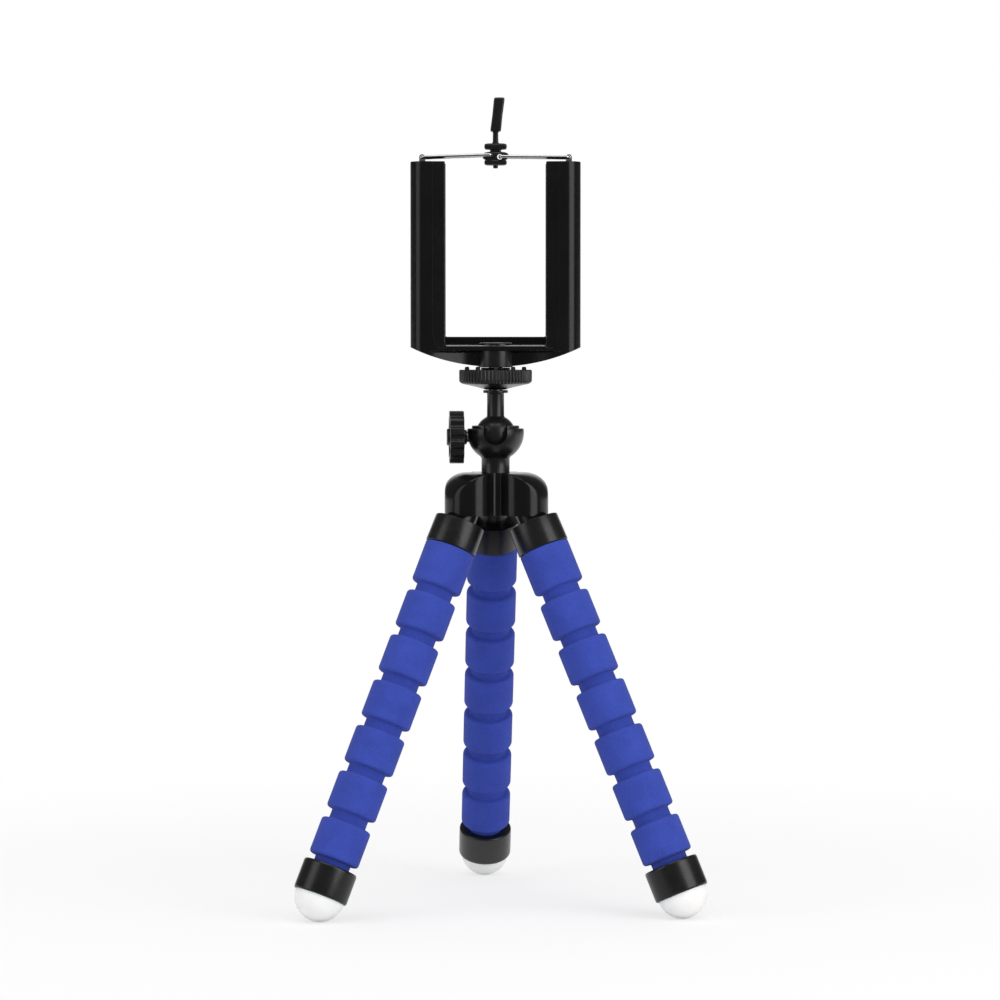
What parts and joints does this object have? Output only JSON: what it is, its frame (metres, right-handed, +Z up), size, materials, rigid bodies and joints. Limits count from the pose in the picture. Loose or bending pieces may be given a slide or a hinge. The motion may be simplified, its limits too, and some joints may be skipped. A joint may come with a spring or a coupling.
{
  "type": "phone tripod",
  "caption": "Small table tripod for a phone: a spring clamp with a flip lever on a ball head, standing on bendable foam-covered legs with rubber feet.",
  "frame": {"origin": "on the axis of the ball head, at the surface that the feet stand on", "axes": "+Z up, -Y out of the clamp's open front, +X towards the viewer's right"},
  "size_m": [0.1822, 0.1658, 0.3645],
  "materials": {
    "gloss_black": "gloss",
    "satin_black": "satin",
    "blue_foam": "matte",
    "white_rubber": "satin",
    "black_rubber": "matte",
    "white_nylon": "satin",
    "chrome_wire": "polished",
    "steel": "satin",
    "brass": "satin",
    "soft_aluminium": "satin"
  },
  "bodies": {
    "body": {"body_shell": "gloss_black", "leg_hub": "satin_black", "centre_screw": "steel", "ball_cup": "satin_black", "keeper_ring": "satin_black", "back_leg_collar": "satin_black", "back_leg_foam_1": "blue_foam", "back_leg_core_wire": "soft_aluminium", "left_leg_collar": "satin_black", "left_leg_foam_1": "blue_foam", "left_leg_core_wire": "soft_aluminium", "right_leg_collar": "satin_black", "right_leg_foam_1": "blue_foam", "right_leg_core_wire": "soft_aluminium"},
    "knob": {"clamp_knob": "satin_black", "clamp_screw": "steel", "pressure_pad": "white_nylon"},
    "seat": {"ball_seat": "white_nylon"},
    "stud": {"ball_stud": "satin_black", "mounting_screw": "steel"},
    "disc": {"lock_disc": "satin_black", "disc_nubs": "black_rubber"},
    "clamp": {"clamp_base": "gloss_black", "thread_nut": "brass", "hinge_pins": "steel"},
    "arm_left": {"arm_left": "gloss_black", "arm_pad_left": "black_rubber"},
    "arm_right": {"arm_right": "gloss_black", "arm_pad_right": "black_rubber"},
    "wire_left": {"wire_left": "chrome_wire"},
    "wire_right": {"wire_right": "chrome_wire"},
    "lever": {"lever": "satin_black"},
    "back_leg_bead_2": {"back_leg_foam_2": "blue_foam"},
    "back_leg_bead_3": {"back_leg_foam_3": "blue_foam"},
    "back_leg_bead_4": {"back_leg_foam_4": "blue_foam"},
    "back_leg_bead_5": {"back_leg_foam_5": "blue_foam"},
    "back_leg_bead_6": {"back_leg_foam_6": "blue_foam"},
    "back_leg_bead_7": {"back_leg_foam_7": "blue_foam", "back_leg_foot_ring": "satin_black", "back_leg_foot_tip": "white_rubber"},
    "left_leg_bead_2": {"left_leg_foam_2": "blue_foam"},
    "left_leg_bead_3": {"left_leg_foam_3": "blue_foam"},
    "left_leg_bead_4": {"left_leg_foam_4": "blue_foam"},
    "left_leg_bead_5": {"left_leg_foam_5": "blue_foam"},
    "left_leg_bead_6": {"left_leg_foam_6": "blue_foam"},
    "left_leg_bead_7": {"left_leg_foam_7": "blue_foam", "left_leg_foot_ring": "satin_black", "left_leg_foot_tip": "white_rubber"},
    "right_leg_bead_2": {"right_leg_foam_2": "blue_foam"},
    "right_leg_bead_3": {"right_leg_foam_3": "blue_foam"},
    "right_leg_bead_4": {"right_leg_foam_4": "blue_foam"},
    "right_leg_bead_5": {"right_leg_foam_5": "blue_foam"},
    "right_leg_bead_6": {"right_leg_foam_6": "blue_foam"},
    "right_leg_bead_7": {"right_leg_foam_7": "blue_foam", "right_leg_foot_ring": "satin_black", "right_leg_foot_tip": "white_rubber"}
  },
  "joints": [
    {"name": "ball_side_tilt", "type": "hinge", "parent": "body", "child": "seat", "pos_m": [0, 0, 0.21257], "axis": [0, 1, 0], "range_deg": [-24, 24]},
    {"name": "ball_front_tilt", "type": "hinge", "parent": "seat", "child": "stud", "pos_m": [0, 0, 0.21257], "axis": [1, 0, 0], "range_deg": [-24, 90]},
    {"name": "lock_disc_turn", "type": "hinge", "parent": "stud", "child": "disc", "pos_m": [0, 0, 0.24202], "axis": [0, 0, 1], "range_deg": [-180, 180]},
    {"name": "clamp_turn", "type": "hinge", "parent": "stud", "child": "clamp", "pos_m": [0, 0, 0.24317], "axis": [0, 0, 1], "range_deg": [-180, 180]},
    {"name": "clamp_knob_turn", "type": "hinge", "parent": "body", "child": "knob", "pos_m": [-0.01798, -0.00094, 0.21167], "axis": [-0.9986, -0.0523, 0], "range_deg": [0, 270]},
    {"name": "lever_flip", "type": "hinge", "parent": "wire_left", "child": "lever", "pos_m": [-0.002, 0.0055, 0.33867], "axis": [0, 1, 0], "range_deg": [0, 80]},
    {"name": "left_arm_flex", "type": "hinge", "parent": "clamp", "child": "arm_left", "pos_m": [-0.0308, 0, 0.25287], "axis": [0, 1, 0], "range_deg": [0, 1.2]},
    {"name": "right_arm_flex", "type": "hinge", "parent": "clamp", "child": "arm_right", "pos_m": [0.0308, 0, 0.25287], "axis": [0, 1, 0], "range_deg": [-1.2, 0]},
    {"name": "left_wire_hinge", "type": "hinge", "parent": "arm_left", "child": "wire_left", "pos_m": [-0.033, 0.0055, 0.33757], "axis": [0, 1, 0], "range_deg": [-6.5, 0]},
    {"name": "right_wire_hinge", "type": "hinge", "parent": "arm_right", "child": "wire_right", "pos_m": [0.033, 0.0055, 0.33757], "axis": [0, 1, 0], "range_deg": [-0.5, 0]},
    {"name": "back_leg_bend_1", "type": "hinge", "parent": "body", "child": "back_leg_bead_2", "pos_m": [-0.0019, 0.03298, 0.14243], "axis": [0.9983, 0.0576, 0], "range_deg": [-15, 15], "deforming": ["back_leg_core_wire"]},
    {"name": "back_leg_side_bend_2", "type": "hinge", "parent": "back_leg_bead_2", "child": "back_leg_bead_3", "pos_m": [-0.00241, 0.04186, 0.12275], "axis": [-0.0525, 0.9099, 0.4115], "range_deg": [-15, 15], "deforming": ["back_leg_core_wire"]},
    {"name": "back_leg_bend_3", "type": "hinge", "parent": "back_leg_bead_3", "child": "back_leg_bead_4", "pos_m": [-0.00293, 0.05073, 0.10306], "axis": [0.9983, 0.0576, 0], "range_deg": [-15, 15], "deforming": ["back_leg_core_wire"]},
    {"name": "back_leg_side_bend_4", "type": "hinge", "parent": "back_leg_bead_4", "child": "back_leg_bead_5", "pos_m": [-0.00344, 0.05961, 0.08337], "axis": [-0.0525, 0.9099, 0.4115], "range_deg": [-15, 15], "deforming": ["back_leg_core_wire"]},
    {"name": "back_leg_bend_5", "type": "hinge", "parent": "back_leg_bead_5", "child": "back_leg_bead_6", "pos_m": [-0.00395, 0.06848, 0.06369], "axis": [0.9983, 0.0576, 0], "range_deg": [-15, 15], "deforming": ["back_leg_core_wire"]},
    {"name": "back_leg_side_bend_6", "type": "hinge", "parent": "back_leg_bead_6", "child": "back_leg_bead_7", "pos_m": [-0.00446, 0.07735, 0.044], "axis": [-0.0525, 0.9099, 0.4115], "range_deg": [-15, 15], "deforming": ["back_leg_core_wire"]},
    {"name": "left_leg_bend_1", "type": "hinge", "parent": "body", "child": "left_leg_bead_2", "pos_m": [-0.02761, -0.01814, 0.14243], "axis": [-0.549, 0.8358, 0], "range_deg": [-15, 15], "deforming": ["left_leg_core_wire"]},
    {"name": "left_leg_side_bend_2", "type": "hinge", "parent": "left_leg_bead_2", "child": "left_leg_bead_3", "pos_m": [-0.03504, -0.02302, 0.12275], "axis": [-0.7618, -0.5004, 0.4115], "range_deg": [-15, 15], "deforming": ["left_leg_core_wire"]},
    {"name": "left_leg_bend_3", "type": "hinge", "parent": "left_leg_bead_3", "child": "left_leg_bead_4", "pos_m": [-0.04247, -0.0279, 0.10306], "axis": [-0.549, 0.8358, 0], "range_deg": [-15, 15], "deforming": ["left_leg_core_wire"]},
    {"name": "left_leg_side_bend_4", "type": "hinge", "parent": "left_leg_bead_4", "child": "left_leg_bead_5", "pos_m": [-0.0499, -0.03278, 0.08337], "axis": [-0.7618, -0.5004, 0.4115], "range_deg": [-15, 15], "deforming": ["left_leg_core_wire"]},
    {"name": "left_leg_bend_5", "type": "hinge", "parent": "left_leg_bead_5", "child": "left_leg_bead_6", "pos_m": [-0.05733, -0.03766, 0.06369], "axis": [-0.549, 0.8358, 0], "range_deg": [-15, 15], "deforming": ["left_leg_core_wire"]},
    {"name": "left_leg_side_bend_6", "type": "hinge", "parent": "left_leg_bead_6", "child": "left_leg_bead_7", "pos_m": [-0.06476, -0.04254, 0.044], "axis": [-0.7618, -0.5004, 0.4115], "range_deg": [-15, 15], "deforming": ["left_leg_core_wire"]},
    {"name": "right_leg_bend_1", "type": "hinge", "parent": "body", "child": "right_leg_bead_2", "pos_m": [0.02952, -0.01485, 0.14243], "axis": [-0.4493, -0.8934, 0], "range_deg": [-15, 15], "deforming": ["right_leg_core_wire"]},
    {"name": "right_leg_side_bend_2", "type": "hinge", "parent": "right_leg_bead_2", "child": "right_leg_bead_3", "pos_m": [0.03746, -0.01884, 0.12275], "axis": [0.8142, -0.4095, 0.4115], "range_deg": [-15, 15], "deforming": ["right_leg_core_wire"]},
    {"name": "right_leg_bend_3", "type": "hinge", "parent": "right_leg_bead_3", "child": "right_leg_bead_4", "pos_m": [0.0454, -0.02283, 0.10306], "axis": [-0.4493, -0.8934, 0], "range_deg": [-15, 15], "deforming": ["right_leg_core_wire"]},
    {"name": "right_leg_side_bend_4", "type": "hinge", "parent": "right_leg_bead_4", "child": "right_leg_bead_5", "pos_m": [0.05334, -0.02683, 0.08337], "axis": [0.8142, -0.4095, 0.4115], "range_deg": [-15, 15], "deforming": ["right_leg_core_wire"]},
    {"name": "right_leg_bend_5", "type": "hinge", "parent": "right_leg_bead_5", "child": "right_leg_bead_6", "pos_m": [0.06128, -0.03082, 0.06369], "axis": [-0.4493, -0.8934, 0], "range_deg": [-15, 15], "deforming": ["right_leg_core_wire"]},
    {"name": "right_leg_side_bend_6", "type": "hinge", "parent": "right_leg_bead_6", "child": "right_leg_bead_7", "pos_m": [0.06922, -0.03481, 0.044], "axis": [0.8142, -0.4095, 0.4115], "range_deg": [-15, 15], "deforming": ["right_leg_core_wire"]}
  ],
  "couplings": [
    {"joint": "left_arm_flex", "follows": "lever_flip", "ratio": 0.0149},
    {"joint": "right_arm_flex", "follows": "lever_flip", "ratio": -0.0149},
    {"joint": "left_wire_hinge", "follows": "lever_flip", "ratio": -0.08},
    {"joint": "right_wire_hinge", "follows": "lever_flip", "ratio": -0.0052}
  ]
}
